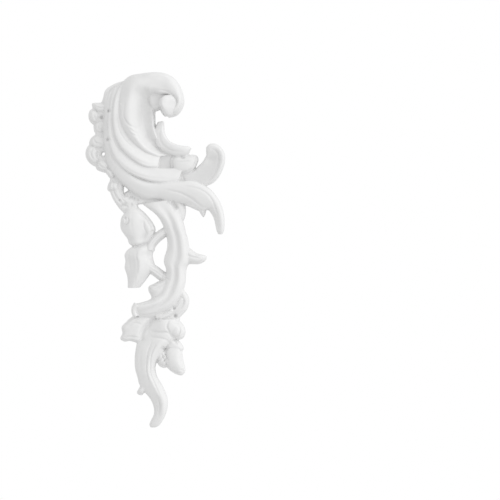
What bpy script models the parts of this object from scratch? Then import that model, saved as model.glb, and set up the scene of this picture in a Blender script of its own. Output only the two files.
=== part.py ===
import math

import bpy
import bmesh
import numpy as np

# Driving sizes in metres
HEIGHT = 0.358
DEPTH = 0.031
RIM_ROUNDING = 0.0016
WALL_DRAFT = math.radians(5.5)
BACK_OVERLAP = 0.004
SWELL = 0.0009
PIERCING = 0.0036

# Fineness of the faceted solid
GRAIN = 0.0011
TRIANGLES = 10000

# Carver's drawing, x to the right and y down, in 358ths of the height
# Heights above the flat back are in 31sts of the depth
DRAWN_HEIGHT = 358
DRAWN_DEPTH = 31
HANGING_POINT = (156, 190)
SHEET = HEIGHT / DRAWN_HEIGHT
RISE = DEPTH / DRAWN_DEPTH
ACROSS = (1 - np.cos(np.linspace(0, np.pi, 21))) / 2
STATIONS = (0, 0.12, 0.3, 0.5, 0.7, 0.86, 1)

for item in list(bpy.data.objects):
    bpy.data.objects.remove(item, do_unlink=True)


def smooth(points, count, closed=False):
    """Even steps along a smooth curve through the points, whose first two columns are x and y."""
    points = np.array(points, float)
    if closed:
        points = np.vstack([points[-1], points, points[0], points[1]])
    else:
        points = np.vstack([2 * points[0] - points[1], points, 2 * points[-1] - points[-2]])
    gaps = np.sqrt(np.linalg.norm(np.diff(points[:, :2], axis=0), axis=1))
    knots = np.concatenate([[0], np.cumsum(np.maximum(gaps, 0.3))])
    rows = []
    for spot in np.linspace(knots[1], knots[-2], count, endpoint=not closed):
        i = min(max(np.searchsorted(knots, spot, side="right") - 1, 1), len(knots) - 3)
        p, k = points[i - 1:i + 3], knots[i - 1:i + 3]
        a = [p[j] + (p[j + 1] - p[j]) * (spot - k[j]) / (k[j + 1] - k[j]) for j in range(3)]
        b = [a[j] + (a[j + 1] - a[j]) * (spot - k[j]) / (k[j + 2] - k[j]) for j in range(2)]
        rows.append(b[0] + (b[1] - b[0]) * (spot - k[1]) / (k[2] - k[1]))
    return np.array(rows)


def place(x, y, up):
    """Sheet position and height in metres above the back to the part's frame."""
    return ((x - HANGING_POINT[0]) * SHEET, -up, (HANGING_POINT[1] - y) * SHEET)


def skin(carving, loops):
    """A closed shell through loops of equal length, capped at both ends."""
    rings = [[carving.verts.new(point) for point in loop] for loop in loops]
    size = len(rings[0])
    for near, far in zip(rings, rings[1:]):
        for i in range(size):
            j = (i + 1) % size
            carving.faces.new((near[i], near[j], far[j], far[i]))
    carving.faces.new(rings[0][::-1])
    carving.faces.new(rings[-1])


def ease(t):
    t = np.clip(t, 0, 1)
    return t * t * (3 - 2 * t)


def crown(t):
    return np.sin(np.pi * np.clip(t, 0, 1)) ** 0.8


def fold(t):
    return np.sin(np.pi * t ** 0.55) ** 0.9


def loft(carving, rows, rounding):
    """A closed body over rows of two rim points and the heights across between them."""
    loops = []
    for left, right, heights in rows:
        chord = np.linalg.norm(right - left) or 0.1
        along = (right - left) / chord
        start = left - along * SWELL / SHEET
        width = chord + 2 * SWELL / SHEET
        radius = min(rounding, 0.3 * width * SHEET)
        drop = np.maximum(0, 1 - np.minimum(ACROSS, 1 - ACROSS) * width * SHEET / radius)
        heights = heights * RISE - radius * (1 - np.sqrt(1 - drop ** 2))
        spots = start + np.outer(ACROSS * width, along)
        slant = along * math.tan(WALL_DRAFT) / SHEET
        loops.append([
            place(*(spots[0] - slant * (heights[0] + BACK_OVERLAP)), -BACK_OVERLAP),
            *(place(*spot, up) for spot, up in zip(spots, heights)),
            place(*(spots[-1] + slant * (heights[-1] + BACK_OVERLAP)), -BACK_OVERLAP)])
    skin(carving, loops)


def leaf(carving, rungs, across=crown, steps=90, rounding=RIM_ROUNDING):
    """A leaf laid over rungs, each two rim points with their heights and the rise between them."""
    rows = []
    for xl, yl, hl, xr, yr, hr, rise in smooth([
            ((r[0] + r[3]) / 2, (r[1] + r[4]) / 2, *r) for r in rungs], steps)[:, 2:]:
        heights = hl + (hr - hl) * ACROSS + rise * across(ACROSS)
        rows.append((np.array([xl, yl]), np.array([xr, yr]), heights))
    loft(carving, rows, rounding)


def panel(carving, rungs, steps=140, rounding=RIM_ROUNDING):
    """A wide leaf over rungs, each two rim points and the height at each station across."""
    rows = []
    for step in smooth([((r[0] + r[2]) / 2, (r[1] + r[3]) / 2, *r) for r in rungs], steps)[:, 2:]:
        slopes = np.gradient(step[4:], STATIONS)
        i = np.clip(np.searchsorted(STATIONS, ACROSS, side="right") - 1, 0, len(STATIONS) - 2)
        span = np.diff(STATIONS)[i]
        t = (ACROSS - np.array(STATIONS)[i]) / span
        heights = step[4:][i] * (1 - ease(t)) + step[4:][i + 1] * ease(t) + span * t * (1 - t) * (
            slopes[i] * (1 - t) - slopes[i + 1] * t)
        rows.append((step[:2], step[2:4], heights))
    loft(carving, rows, rounding)


def rib(carving, spine, half_width, height):
    """A round-topped stalk along a spine."""
    line = smooth(spine, 24)
    side = np.gradient(line, axis=0)
    side = np.stack([-side[:, 1], side[:, 0]], axis=1) / np.linalg.norm(side, axis=1)[:, None]
    leaf(carving, [
        (*(p - s * half_width), height * 0.6, *(p + s * half_width), height * 0.6, height * 0.4)
        for p, s in zip(line, side)], steps=40)


def lobe(carving, outline, rim, top):
    """A swelling over a closed outline."""
    edge = smooth(outline, 48, closed=True)
    middle = edge.mean(axis=0)
    reach = np.linalg.norm(edge - middle, axis=1).mean() * SHEET
    edge = middle + (edge - middle) * (1 + SWELL / reach)
    spread = math.tan(WALL_DRAFT) * (rim * RISE + BACK_OVERLAP) / reach
    inset = min(RIM_ROUNDING / reach, 0.3)
    rings = [(1 + spread, -BACK_OVERLAP), (1, rim * RISE - inset * reach)]
    for s in np.linspace(0, 1, 11)[:-1]:
        swell = (top - rim) * math.sqrt(1 - (1 - s) ** 2)
        rings.append(((1 - inset) * (1 - s), (rim + swell) * RISE))
    skin(carving, [
        [place(*(middle + (point - middle) * share), up) for point in edge]
        for share, up in rings])


carving = bmesh.new()

# Great scroll, from the volute over the top and down the trough into the hollow
panel(carving, [
    (168, 114, 168, 112, 22, 22, 22.5, 22.5, 22.5, 22, 21),
    (174.8, 112.3, 172.5, 109.8, 21, 23, 24.5, 25, 24.5, 24, 23),
    (179.2, 107.3, 176, 105.5, 21, 24, 25.5, 26, 25.5, 25, 24),
    (181.2, 101, 177.5, 101.5, 21, 24, 26, 26.5, 26, 25, 24),
    (180.4, 93.5, 175, 97.8, 21, 24.5, 26, 26.5, 26, 25, 24),
    (177.5, 85.8, 171, 95.2, 21, 24.5, 26.5, 27, 26.5, 25.5, 24),
    (172.7, 79.3, 167, 93.8, 20.5, 24.5, 26.5, 27, 26.5, 25.5, 24),
    (165.3, 74.8, 163, 93.5, 20, 24.5, 26, 26.5, 26, 25.3, 24),
    (157, 73.2, 159.5, 93.5, 19, 23.5, 26, 26.5, 26, 25, 23),
    (149, 73.3, 156.5, 94.5, 17, 22.5, 25.5, 26.5, 26, 23, 18),
    (141, 73.9, 154.2, 97, 13, 20, 25.5, 26.5, 25, 19, 12),
    (130.5, 75.4, 153, 101, 8, 18, 25.5, 26, 20, 15, 13),
    (123.3, 81.4, 152.6, 105, 9, 18, 26, 24, 17, 14, 14),
    (120.4, 92, 152.6, 109.5, 16, 21.5, 26.5, 22.5, 15, 13, 16),
    (119.7, 104, 152.8, 115, 21, 24.5, 27, 22.5, 14.5, 13, 17.5),
    (120, 118, 153.2, 125, 21, 24.5, 27, 22.5, 14.5, 13, 17.5),
    (124, 130, 154.5, 134, 20, 23.5, 26, 21.5, 14.5, 12.5, 16),
    (132, 141.5, 158, 142, 19, 22, 24, 20, 14, 11, 12),
    (144, 151, 165, 149.5, 17, 19, 20, 16.5, 12, 10, 9),
    (157, 156.5, 173, 154, 13, 13.5, 13, 11.5, 10, 8.5, 8)], 200, 0.002)

# Rolled volute at its end
panel(carving, [
    (166, 97.3, 171, 96.8, 25, 26, 26.5, 26.5, 26, 25.5, 24),
    (163, 100, 176, 99.3, 27, 29.5, 29.8, 28.5, 27, 25.5, 24),
    (161.8, 105, 177.8, 105, 28, 30.8, 30.2, 28.5, 26.5, 25, 24),
    (162.8, 109, 176, 109.5, 27, 29.8, 29.5, 28, 26.5, 25, 24),
    (165, 112.4, 173, 112.6, 25, 27, 27.5, 27, 26, 25, 24),
    (167.5, 114.4, 170, 114.5, 24, 25, 25.3, 25.3, 25, 24.5, 24)], 60)
lobe(carving, [(150, 90), (170, 90), (172, 104), (162, 106), (154, 108)], 14, 14)

# Three folds round the outside, the last of them drooping to a long tip
leaf(carving, [
    (121, 104, 22, 124, 104, 22, 1), (122, 114, 22, 126, 113, 22, 2),
    (126, 123, 20, 130, 120, 21, 2), (133, 131, 17, 137, 127, 17, 1)])
leaf(carving, [
    (119.5, 86, 17, 122, 86, 17, 1), (116, 97, 20, 119.5, 97, 19, 2),
    (114, 110, 21, 119.7, 108, 20, 2.5), (114, 123, 21, 121.5, 121, 20, 3),
    (116.5, 137, 21, 127, 134, 19, 3), (123, 149, 21, 135.5, 144.5, 18, 3),
    (133.5, 159, 20, 144.5, 151.5, 16, 3), (146, 166, 18, 152.5, 155.3, 13.5, 3),
    (157.5, 166.7, 13.5, 159.7, 156.8, 11, 1.5)], fold, 120)
leaf(carving, [
    (113.5, 92, 14, 117.5, 90, 16, 1), (110.5, 106, 17, 115, 104, 17, 2),
    (108.5, 124, 18, 115, 122, 17, 2), (110, 143, 18, 117.3, 138, 17, 2.5),
    (116, 158.5, 18, 124.5, 150.5, 17, 3), (128, 171, 18, 136, 161, 16, 3),
    (147, 179.5, 16.5, 148.5, 167.2, 14.5, 3.5), (164, 182, 14.5, 166, 169, 12.5, 3.5),
    (178.2, 181, 11.5, 182.2, 168.5, 10.5, 3)], fold, 120)
panel(carving, [
    (111.3, 88.7, 116, 86, 7, 8.5, 10.5, 12, 13, 13.5, 12),
    (104.7, 96.6, 112, 100, 8, 10, 12, 13.5, 14.5, 15, 14),
    (103, 116, 109, 117, 8.5, 10.5, 12.5, 14, 15, 15.5, 14.5),
    (103, 134, 108.5, 135, 9, 11, 13, 14.5, 15.5, 16, 14.5),
    (104.5, 151, 111.5, 150, 9.5, 12, 14, 15.5, 16.5, 16.5, 15),
    (108, 165, 119, 163, 10, 13, 15, 16.5, 17, 17, 15),
    (117, 177, 130, 173.5, 10.5, 14, 16, 17, 17.5, 17, 15),
    (130.5, 189.5, 143, 180.5, 10.5, 14, 16, 17.5, 18, 17, 15),
    (145, 197.5, 156.5, 183, 10.5, 14, 16, 17.5, 18, 17.5, 15),
    (158, 198.3, 168, 182, 10.5, 13.5, 16, 17.5, 18, 17.5, 15),
    (171, 200.3, 180, 181.8, 10.5, 13.5, 16, 17.5, 18, 17.5, 15),
    (185, 203.2, 193, 181.8, 10, 13, 15.5, 17, 17.5, 17, 15),
    (196, 208, 205, 187.5, 10, 12.5, 15, 16.5, 17, 16.5, 15),
    (203, 210, 212.6, 194, 10, 12.5, 14.5, 16, 16.5, 16, 14),
    (209, 209, 218.4, 203, 9.5, 12, 14, 15, 15.5, 15, 13.5),
    (214.3, 216, 221.8, 213.3, 9, 11, 13, 14, 14.5, 14, 12),
    (216.9, 226, 222.8, 224, 8.5, 10, 11.5, 12.5, 13, 12.5, 11),
    (218, 231.3, 222, 231.3, 8, 9, 10, 10.5, 10.5, 10, 9),
    (219.6, 234.2, 220.4, 234.2, 7.5, 7.5, 8, 8, 8, 7.5, 7.5)], 240)
lobe(carving, [(198, 206), (203.5, 206), (204.4, 210.5), (202.7, 214.6), (200.2, 211.5)], 8, 10)

# Floor of the hollow and the leaves inside the scroll
lobe(carving, [
    (146, 146), (160, 138), (180, 150), (189, 160), (192, 180), (176, 190), (146, 184)], 8, 9)
leaf(carving, [
    (161.8, 120.8, 8, 160, 121.5, 9, 0), (162.7, 126.5, 8.5, 156.4, 127.5, 13, 1),
    (163.6, 133.3, 9, 155.2, 136, 14.5, 1.5), (167, 140.5, 10, 157.5, 144.5, 14, 2),
    (173.5, 144.4, 11, 165, 151, 12, 3), (181, 146.6, 12, 175, 155, 10.5, 3),
    (187.2, 147.3, 11.5, 184, 155, 9.5, 2), (190.2, 149.1, 10.5, 188.8, 152.3, 9.5, 0)])
lobe(carving, [
    (172, 158), (180, 156), (190, 155.1), (194.7, 155.9), (196.3, 159.5), (195, 163.5),
    (192.5, 168), (186, 172), (174, 172)], 9, 13.5)

# Hollow leaf curling upwards on the right
leaf(carving, [
    (187, 186, 13, 183, 174, 9, 0), (203.5, 184.5, 15, 194, 170.5, 10, -1),
    (212.5, 180.3, 16, 199, 166.2, 10, -2), (219, 171.5, 17, 203.3, 162.3, 11, -3),
    (222.6, 160, 18, 205.7, 158.2, 12, -3), (221.6, 151.5, 18, 207, 155.5, 14, -1),
    (215.5, 145.2, 18, 207.3, 153, 15, 1), (209, 144.9, 17, 206.6, 151.5, 15, 1),
    (206, 148.2, 15, 206, 150.6, 15, 0)], rounding=0.003)

# Lacy foliage down the left side
leaf(carving, [
    (123, 80.5, 6, 131, 86, 7, 0), (113.5, 83.9, 6, 121, 94, 7, 1), (105.4, 89.6, 6, 115, 99, 7, 1),
    (102.6, 99, 6, 114, 108, 7, 0), (98, 110, 6, 114, 115, 6, 0), (96, 121, 6, 114, 125, 6, 0),
    (95.5, 133, 6, 114, 134, 6, 0), (96, 145, 6, 114, 145, 6, 0), (98.5, 160, 6, 116, 160, 6, 0),
    (104, 169.5, 6, 120, 172, 7, 0), (110.5, 178, 7, 126, 182, 7, 0)])
leaf(carving, [
    (110.8, 176, 7, 122, 176, 8, 1), (109.3, 186, 7, 121.5, 186, 8, 2),
    (112, 196, 7, 122.5, 195, 8, 2), (117.5, 205, 7, 131, 198.5, 8, 2),
    (124.5, 213, 7, 136.5, 208, 8, 1)])
lobe(carving, [
    (122, 197), (128, 191), (134, 188), (144, 194), (150, 202), (143.5, 203.2),
    (137, 204), (135.5, 208.5), (128, 210)], 6, 7)
lobe(carving, [(142, 196), (156, 190), (176, 194), (180, 206), (160, 208), (148, 205)], 7, 8)
for outline in (
        [(94, 104.3), (98, 103.7), (103.5, 103.9), (108, 106), (105, 111.5), (98, 112), (93.8, 108.5)],
        [(90.3, 110), (94.5, 109.6), (98, 111.5), (98.4, 117), (95.5, 122.6), (91.5, 121.3),
         (88.8, 117.5), (88.8, 112.6)],
        [(95, 122), (103, 119.5), (108.5, 124), (104.5, 131), (99, 133), (94.8, 130.5), (93.8, 125.5)],
        [(94.5, 135.2), (99, 134.3), (105, 136.5), (107.5, 142), (102.5, 147.5), (94, 147.5),
         (89.8, 144), (90.4, 139)],
        [(88.5, 146), (94, 145.5), (97.2, 149), (96.4, 154.5), (98, 161), (94, 163.7),
         (88.6, 160.4), (85.8, 155.5), (86, 150)],
        [(97, 160.5), (104, 159), (109.5, 164), (107, 170.6), (101, 170), (96.6, 167.5)],
        [(104, 168), (110, 168), (114.5, 174), (112.5, 179), (106.5, 173.4)],
        [(108, 185.5), (110.5, 181.3), (118, 182), (118, 190), (111, 190.6), (108, 188.8)]):
    lobe(carving, outline, 8, 12)
lobe(carving, [(103, 146.5), (108.5, 149), (110.5, 155), (107.5, 160.5), (104, 160), (106, 154)], 8, 11)

# Two hanging buds and their stalks
panel(carving, [
    (125.5, 206, 136, 207, 7, 8, 9, 9, 9, 8, 7),
    (125, 212, 141.5, 211.5, 7, 10, 12, 12.5, 12, 10, 7),
    (122, 217, 146.5, 217, 8, 11, 13.5, 14, 13, 11, 8),
    (120.8, 223, 150.8, 223, 8, 11, 14, 14.5, 13, 12.5, 9),
    (121.4, 229, 153.2, 229, 8, 11, 14, 14, 12.5, 12.5, 9),
    (124.4, 234, 152, 234, 8, 11, 13.5, 13.5, 11.5, 11, 8),
    (128, 239, 149.5, 239, 7.5, 10, 12.5, 12.5, 10.5, 9.5, 8),
    (129.5, 243.5, 148, 243, 7, 9.5, 11.5, 11.5, 10, 9, 7.5),
    (134, 246.8, 146, 246, 6, 7, 8, 8, 7, 7, 6)])
lobe(carving, [(122, 218), (124.5, 216.3), (127, 219), (126.5, 224), (123, 225), (121.2, 221.5)], 9, 12.5)
panel(carving, [
    (134, 245.5, 150.5, 243, 6, 7, 8, 8.5, 9, 8, 6), (127.8, 250, 152, 249, 7, 9, 11, 13, 12, 10, 7),
    (124.9, 255, 150.5, 255, 7, 9, 11.5, 14, 12.5, 10, 7),
    (125.8, 261, 151.7, 261.5, 7, 9, 11.5, 14.5, 13, 11, 7),
    (125, 268, 153.5, 268, 7, 9, 11.5, 14.5, 12.5, 10.5, 7),
    (127.2, 275, 147.5, 275, 7, 9, 11.5, 13.5, 12, 10, 7),
    (128, 281, 142.8, 281.5, 6.5, 8.5, 11, 12.5, 10.5, 9, 7),
    (128, 288.2, 137.5, 288, 6, 8, 9.5, 9.5, 8.5, 8, 6)])
rib(carving, [(169, 229), (161, 234), (155, 239), (150.5, 244.7), (149, 250)], 3.5, 10)
rib(carving, [(148, 267), (155, 271.5), (162, 276.5), (170, 280)], 3.9, 9)

# Main stem leaf, down to its rolled hook
panel(carving, [
    (143, 203.5, 174, 199, 8, 10, 12, 12, 11, 10, 9),
    (150, 208.8, 177, 208, 9, 12.5, 14, 13, 13, 12, 10),
    (156.5, 214.2, 179.6, 216, 10, 14, 15.5, 13.5, 15.5, 14.5, 11),
    (161.3, 220.2, 181.6, 223, 10.5, 14.5, 16.5, 14, 17, 16, 12),
    (164.3, 226.5, 183.2, 230, 11, 14.5, 16.5, 14, 17.5, 16.5, 12),
    (167, 234, 185.2, 237, 11, 14.5, 16.5, 14, 17.5, 16.5, 12),
    (168.5, 243, 186.8, 246, 11, 14.5, 16.5, 14, 17.5, 16, 12),
    (167.8, 250, 188, 253, 11, 14.5, 16.5, 14, 17.5, 16, 12),
    (165.6, 257, 188, 261, 11, 14.5, 16.5, 14, 17.5, 16, 12),
    (165, 263, 184.8, 267, 11, 14.5, 16.5, 14, 17.5, 16, 12),
    (167, 269.5, 183.8, 273, 11, 14.5, 16.5, 14, 17.5, 16, 12),
    (166.5, 277, 183.5, 281, 11, 14.5, 16.5, 14, 17.5, 16, 12),
    (163, 286, 181.3, 290, 11, 14.5, 17, 14.5, 17.5, 16, 12),
    (157.5, 295, 178.3, 299, 11, 15, 17.5, 15, 17, 15, 11),
    (149.5, 301, 172.5, 306.5, 12, 16, 18, 15.5, 16.5, 14, 11),
    (141, 303.8, 163, 312.8, 13, 16.5, 17.5, 15.5, 15.5, 13, 10),
    (135, 306, 152, 317, 13, 15.5, 16, 14.5, 14, 12, 10),
    (132.6, 311, 140, 318, 12, 13, 13, 12, 11, 10, 9)], 200)
rib(carving, [(136.5, 304.8), (134.4, 308), (134.2, 312.5), (136, 316.5)], 2, 18)
lobe(carving, [(170, 200), (178, 201.5), (183.6, 206.5), (183.8, 214), (181, 219.5), (174, 214)], 8, 10)
lobe(carving, [
    (182, 246), (189.5, 249.3), (196, 253.7), (204.2, 256.6), (203, 260), (198, 262.8),
    (190, 263), (184, 263)], 9, 14)
lobe(carving, [
    (170, 277), (161, 281), (154, 284.7), (149.4, 287.3), (149.2, 291), (151.5, 295.5),
    (152, 300), (168, 300)], 9, 14)
leaf(carving, [
    (181, 290, 11, 178, 296, 11, 0), (186.3, 297, 11, 181, 298, 10, 2),
    (187, 303, 11, 179.5, 303, 9, 2), (184.8, 309.5, 11, 175, 306.5, 9, 2),
    (180, 315, 10, 170, 309, 9, 2), (174, 322, 9, 165, 314, 9, 0)])
rib(carving, [(182, 299), (175, 308), (166, 315), (156, 318)], 3.2, 13)
lobe(carving, [(146, 313), (160, 307), (172, 305), (177.5, 314), (174, 328), (146, 328)], 9.5, 10)

# Tail leaf with its rolled lobe, side leaf and bud
lobe(carving, [
    (134, 317.5), (129, 320.5), (126, 323.5), (122, 328), (122.7, 333.5), (120.8, 338.5),
    (124.5, 341), (129.5, 340.5), (138, 342.3), (150, 338), (150, 317)], 9, 12)
panel(carving, [
    (149, 321, 174, 319, 9, 12, 14, 14.5, 13.5, 12, 10),
    (143.5, 329, 180, 326, 9, 12, 14.5, 16, 16, 15, 11),
    (139, 338, 178, 335, 9, 12, 14, 15, 14, 12, 9),
    (136.8, 347, 168, 344.5, 9.5, 12.5, 14.5, 14, 16, 13, 9),
    (135.5, 356, 159, 355, 9.5, 12.5, 14.5, 13.5, 16, 13.5, 10),
    (135.3, 364, 154.3, 363, 9, 12, 14, 13, 15.5, 14, 10),
    (136, 371, 153, 370, 9, 12, 14, 12.5, 15, 13.5, 10),
    (138, 378, 154.7, 377, 9, 11.5, 13.5, 12, 14.5, 13, 10),
    (139.8, 385, 158.6, 384, 8.5, 11, 13, 12, 14, 12.5, 9.5),
    (144.8, 392.5, 163, 392, 8, 10.5, 12.5, 12, 13.5, 12, 9),
    (150.8, 400, 165.5, 400, 8, 10, 11.5, 11.5, 13, 12, 9),
    (154.2, 408, 165.5, 408, 7.5, 9, 10.5, 11, 12, 11, 8),
    (154.4, 415.5, 163.7, 415.5, 7, 8.5, 9.5, 10, 10.5, 10, 7.5),
    (151.4, 422.8, 159.7, 422.8, 6.5, 7.5, 8.5, 9, 9, 8.5, 7),
    (150, 428.3, 154.4, 428.4, 6, 6, 6.5, 6.5, 6.5, 6, 6)], 200)
lobe(carving, [
    (168.5, 325), (173, 320.8), (177.8, 322.4), (182, 327), (183.2, 332.5), (180.5, 337.5),
    (174, 337.5), (168.5, 332)], 12, 16)
lobe(carving, [(170, 340), (176, 341.5), (179.5, 344.5), (181.3, 349), (176, 352), (166, 347)], 9, 11)
lobe(carving, [
    (139.5, 380), (140, 387), (137.5, 393), (141, 394.8), (145, 391.7), (150, 392.3), (149, 384)],
    8, 10)
lobe(carving, [
    (165, 352), (168, 347), (175, 346), (179.2, 348.3), (180.8, 353), (181.6, 360), (183.2, 366.5),
    (183.3, 371.5), (180.4, 374.4), (176.5, 373.8), (171.5, 371.2), (167, 366.8), (164.5, 360)],
    8, 14)
lobe(carving, [
    (158.5, 352.5), (163, 350.5), (167, 353), (168, 360), (166, 366), (162.8, 367),
    (159.3, 365.3), (157, 360)], 8, 11.5)

mesh = bpy.data.meshes.new("scroll_onlay")
carving.to_mesh(mesh)
carving.free()
onlay = bpy.data.objects.new("scroll_onlay", mesh)
bpy.context.scene.collection.objects.link(onlay)

# White primed finish
finish = bpy.data.materials.new("white_primer")
finish.use_nodes = True
shader = finish.node_tree.nodes["Principled BSDF"]
shader.inputs["Base Color"].default_value = (0.86, 0.86, 0.85, 1)
shader.inputs["Roughness"].default_value = 0.55
mesh.materials.append(finish)


def hidden(name, points, faces):
    """A cutter that leaves no solid of its own."""
    shape = bpy.data.meshes.new(name)
    shape.from_pydata(points, [], faces)
    item = bpy.data.objects.new(name, shape)
    bpy.context.scene.collection.objects.link(item)
    item.hide_render = True
    item.display_type = "WIRE"
    return item


# Space behind the flat back
corners = [
    (x * HEIGHT, y, z * HEIGHT) for x in (-1, 1) for y in (0, 3 * BACK_OVERLAP) for z in (-1, 1)]
back_cut = hidden("back_cut", corners, [
    (0, 1, 3, 2), (4, 6, 7, 5), (0, 4, 5, 1), (2, 3, 7, 6), (0, 2, 6, 4), (1, 5, 7, 3)])

# Pierced eye of the lower rosette
eye_x, _, eye_z = place(102.5, 153.5, 0)
rim_points = [
    (eye_x + PIERCING / 2 * math.cos(math.tau * i / 16), y,
     eye_z + PIERCING / 2 * math.sin(math.tau * i / 16))
    for y in (-DEPTH, BACK_OVERLAP) for i in range(16)]
eye_cut = hidden("eye_cut", rim_points, [
    tuple(range(16)), tuple(reversed(range(16, 32))),
    *((i, i + 16, (i + 1) % 16 + 16, (i + 1) % 16) for i in range(16))])

# One moulded body, solid between its leaves
union = onlay.modifiers.new("one_body", "REMESH")
union.mode = "VOXEL"
union.voxel_size = GRAIN
graph = bpy.context.evaluated_depsgraph_get()
body = bpy.data.meshes.new_from_object(onlay.evaluated_get(graph))
onlay.modifiers.clear()
onlay.data = body
shell = bmesh.new()
shell.from_mesh(body)
reached = {max(shell.verts, key=lambda corner: corner.co.z)}
front = list(reached)
while front:
    corner = front.pop()
    for edge in corner.link_edges:
        other = edge.other_vert(corner)
        if other not in reached:
            reached.add(other)
            front.append(other)
voids = [corner for corner in shell.verts if corner not in reached]
bmesh.ops.delete(shell, geom=voids, context="VERTS")
bmesh.ops.triangulate(shell, faces=shell.faces[:])
facets = onlay.modifiers.new("facets", "DECIMATE")
facets.ratio = min(1, TRIANGLES / len(shell.faces))
shell.to_mesh(body)
shell.free()
for name, cutter in (("flat_back", back_cut), ("pierced_eye", eye_cut)):
    cut = onlay.modifiers.new(name, "BOOLEAN")
    cut.operation = "DIFFERENCE"
    cut.solver = "EXACT"
    cut.object = cutter
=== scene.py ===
import math

import bmesh
import bpy
import numpy as np
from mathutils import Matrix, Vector


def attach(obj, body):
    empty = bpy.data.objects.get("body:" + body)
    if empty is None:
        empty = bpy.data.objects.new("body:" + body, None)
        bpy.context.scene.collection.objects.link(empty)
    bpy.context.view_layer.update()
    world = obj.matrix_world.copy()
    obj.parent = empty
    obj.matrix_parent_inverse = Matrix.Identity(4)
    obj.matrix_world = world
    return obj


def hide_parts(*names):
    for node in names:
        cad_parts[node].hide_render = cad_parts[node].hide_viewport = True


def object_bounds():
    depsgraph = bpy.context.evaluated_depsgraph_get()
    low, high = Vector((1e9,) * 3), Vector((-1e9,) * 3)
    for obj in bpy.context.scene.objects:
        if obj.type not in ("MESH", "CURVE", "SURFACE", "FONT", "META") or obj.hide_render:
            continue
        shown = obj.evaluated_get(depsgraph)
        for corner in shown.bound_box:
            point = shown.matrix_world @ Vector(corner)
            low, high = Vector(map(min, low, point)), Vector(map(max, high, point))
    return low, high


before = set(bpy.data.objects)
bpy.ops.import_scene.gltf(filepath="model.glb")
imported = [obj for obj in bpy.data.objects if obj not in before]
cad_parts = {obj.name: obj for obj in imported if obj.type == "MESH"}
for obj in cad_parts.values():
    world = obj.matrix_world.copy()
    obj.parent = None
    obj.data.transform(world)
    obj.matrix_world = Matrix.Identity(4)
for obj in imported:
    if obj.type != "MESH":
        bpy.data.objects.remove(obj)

cad_low, cad_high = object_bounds()

# Great scroll
# The widest leaf of the onlay, moulded in one with the rest in rigid foam and
# primed white. It rolls over at the top and hollows into a deep trough below.
# The leaves are drawn on a sheet, in millimetres, with heights off the back.
SHEET = 0.001
ORIGIN = (156, 190)
RIM_ROUNDING = 0.0016
ROUNDING_SHARE = 0.3
WALL_DRAFT = math.radians(5.5)
BACK_OVERLAP = 0.004
SWELL = 0.0009
carving = bmesh.new()


def smooth(points, count, closed=False, least_gap=0.3):
    """Even steps along a smooth curve through the points, whose first two columns are x and y."""
    points = np.array(points, float)
    if closed:
        points = np.vstack([points[-1], points, points[0], points[1]])
    else:
        points = np.vstack([2 * points[0] - points[1], points, 2 * points[-1] - points[-2]])
    gaps = np.sqrt(np.linalg.norm(np.diff(points[:, :2], axis=0), axis=1))
    knots = np.concatenate([[0], np.cumsum(np.maximum(gaps, least_gap))])
    rows = []
    for at in np.linspace(knots[1], knots[-2], count, endpoint=not closed):
        i = min(max(np.searchsorted(knots, at, side="right") - 1, 1), len(knots) - 3)
        p, k = points[i - 1:i + 3], knots[i - 1:i + 3]
        a = [p[j] + (p[j + 1] - p[j]) * (at - k[j]) / (k[j + 1] - k[j]) for j in range(3)]
        b = [a[j] + (a[j + 1] - a[j]) * (at - k[j]) / (k[j + 2] - k[j]) for j in range(2)]
        rows.append(b[0] + (b[1] - b[0]) * (at - k[1]) / (k[2] - k[1]))
    return np.array(rows)


def place(x, y, up):
    """Sheet millimetres, x right and y down, and a height above the flat back, to the frame."""
    return ((x - ORIGIN[0]) * SHEET, -up * SHEET, (ORIGIN[1] - y) * SHEET)


def skin(loops):
    """A closed shell through loops of equal length, capped at both ends."""
    rings = [[carving.verts.new(point) for point in loop] for loop in loops]
    size = len(rings[0])
    for near, far in zip(rings, rings[1:]):
        for i in range(size):
            j = (i + 1) % size
            carving.faces.new((near[i], near[j], far[j], far[i]))
    carving.faces.new(rings[0][::-1])
    carving.faces.new(rings[-1])


def ease(t):
    """A soft step from 0 to 1."""
    t = np.clip(t, 0, 1)
    return t * t * (3 - 2 * t)


ACROSS = (1 - np.cos(np.linspace(0, np.pi, 33))) / 2


def loft(rows, rounding):
    """A closed body over rows of two rim points and the heights across between them."""
    loops = []
    for left, right, heights in rows:
        chord = np.linalg.norm(right - left) or 0.1
        along = (right - left) / chord
        start = left - along * SWELL / SHEET
        width = chord + 2 * SWELL / SHEET
        radius = min(rounding / SHEET, ROUNDING_SHARE * width)
        drop = np.maximum(0, 1 - np.minimum(ACROSS, 1 - ACROSS) * width / radius)
        heights = heights - radius * (1 - np.sqrt(1 - drop ** 2))
        spots = start + np.outer(ACROSS * width, along)
        buried = BACK_OVERLAP / SHEET
        slant = along * math.tan(WALL_DRAFT)
        loops.append([
            place(*(spots[0] - slant * (heights[0] + buried)), -buried),
            *(place(*spot, up) for spot, up in zip(spots, heights)),
            place(*(spots[-1] + slant * (heights[-1] + buried)), -buried)])
    skin(loops)


STATIONS = (0, 0.12, 0.3, 0.5, 0.7, 0.86, 1)


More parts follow.
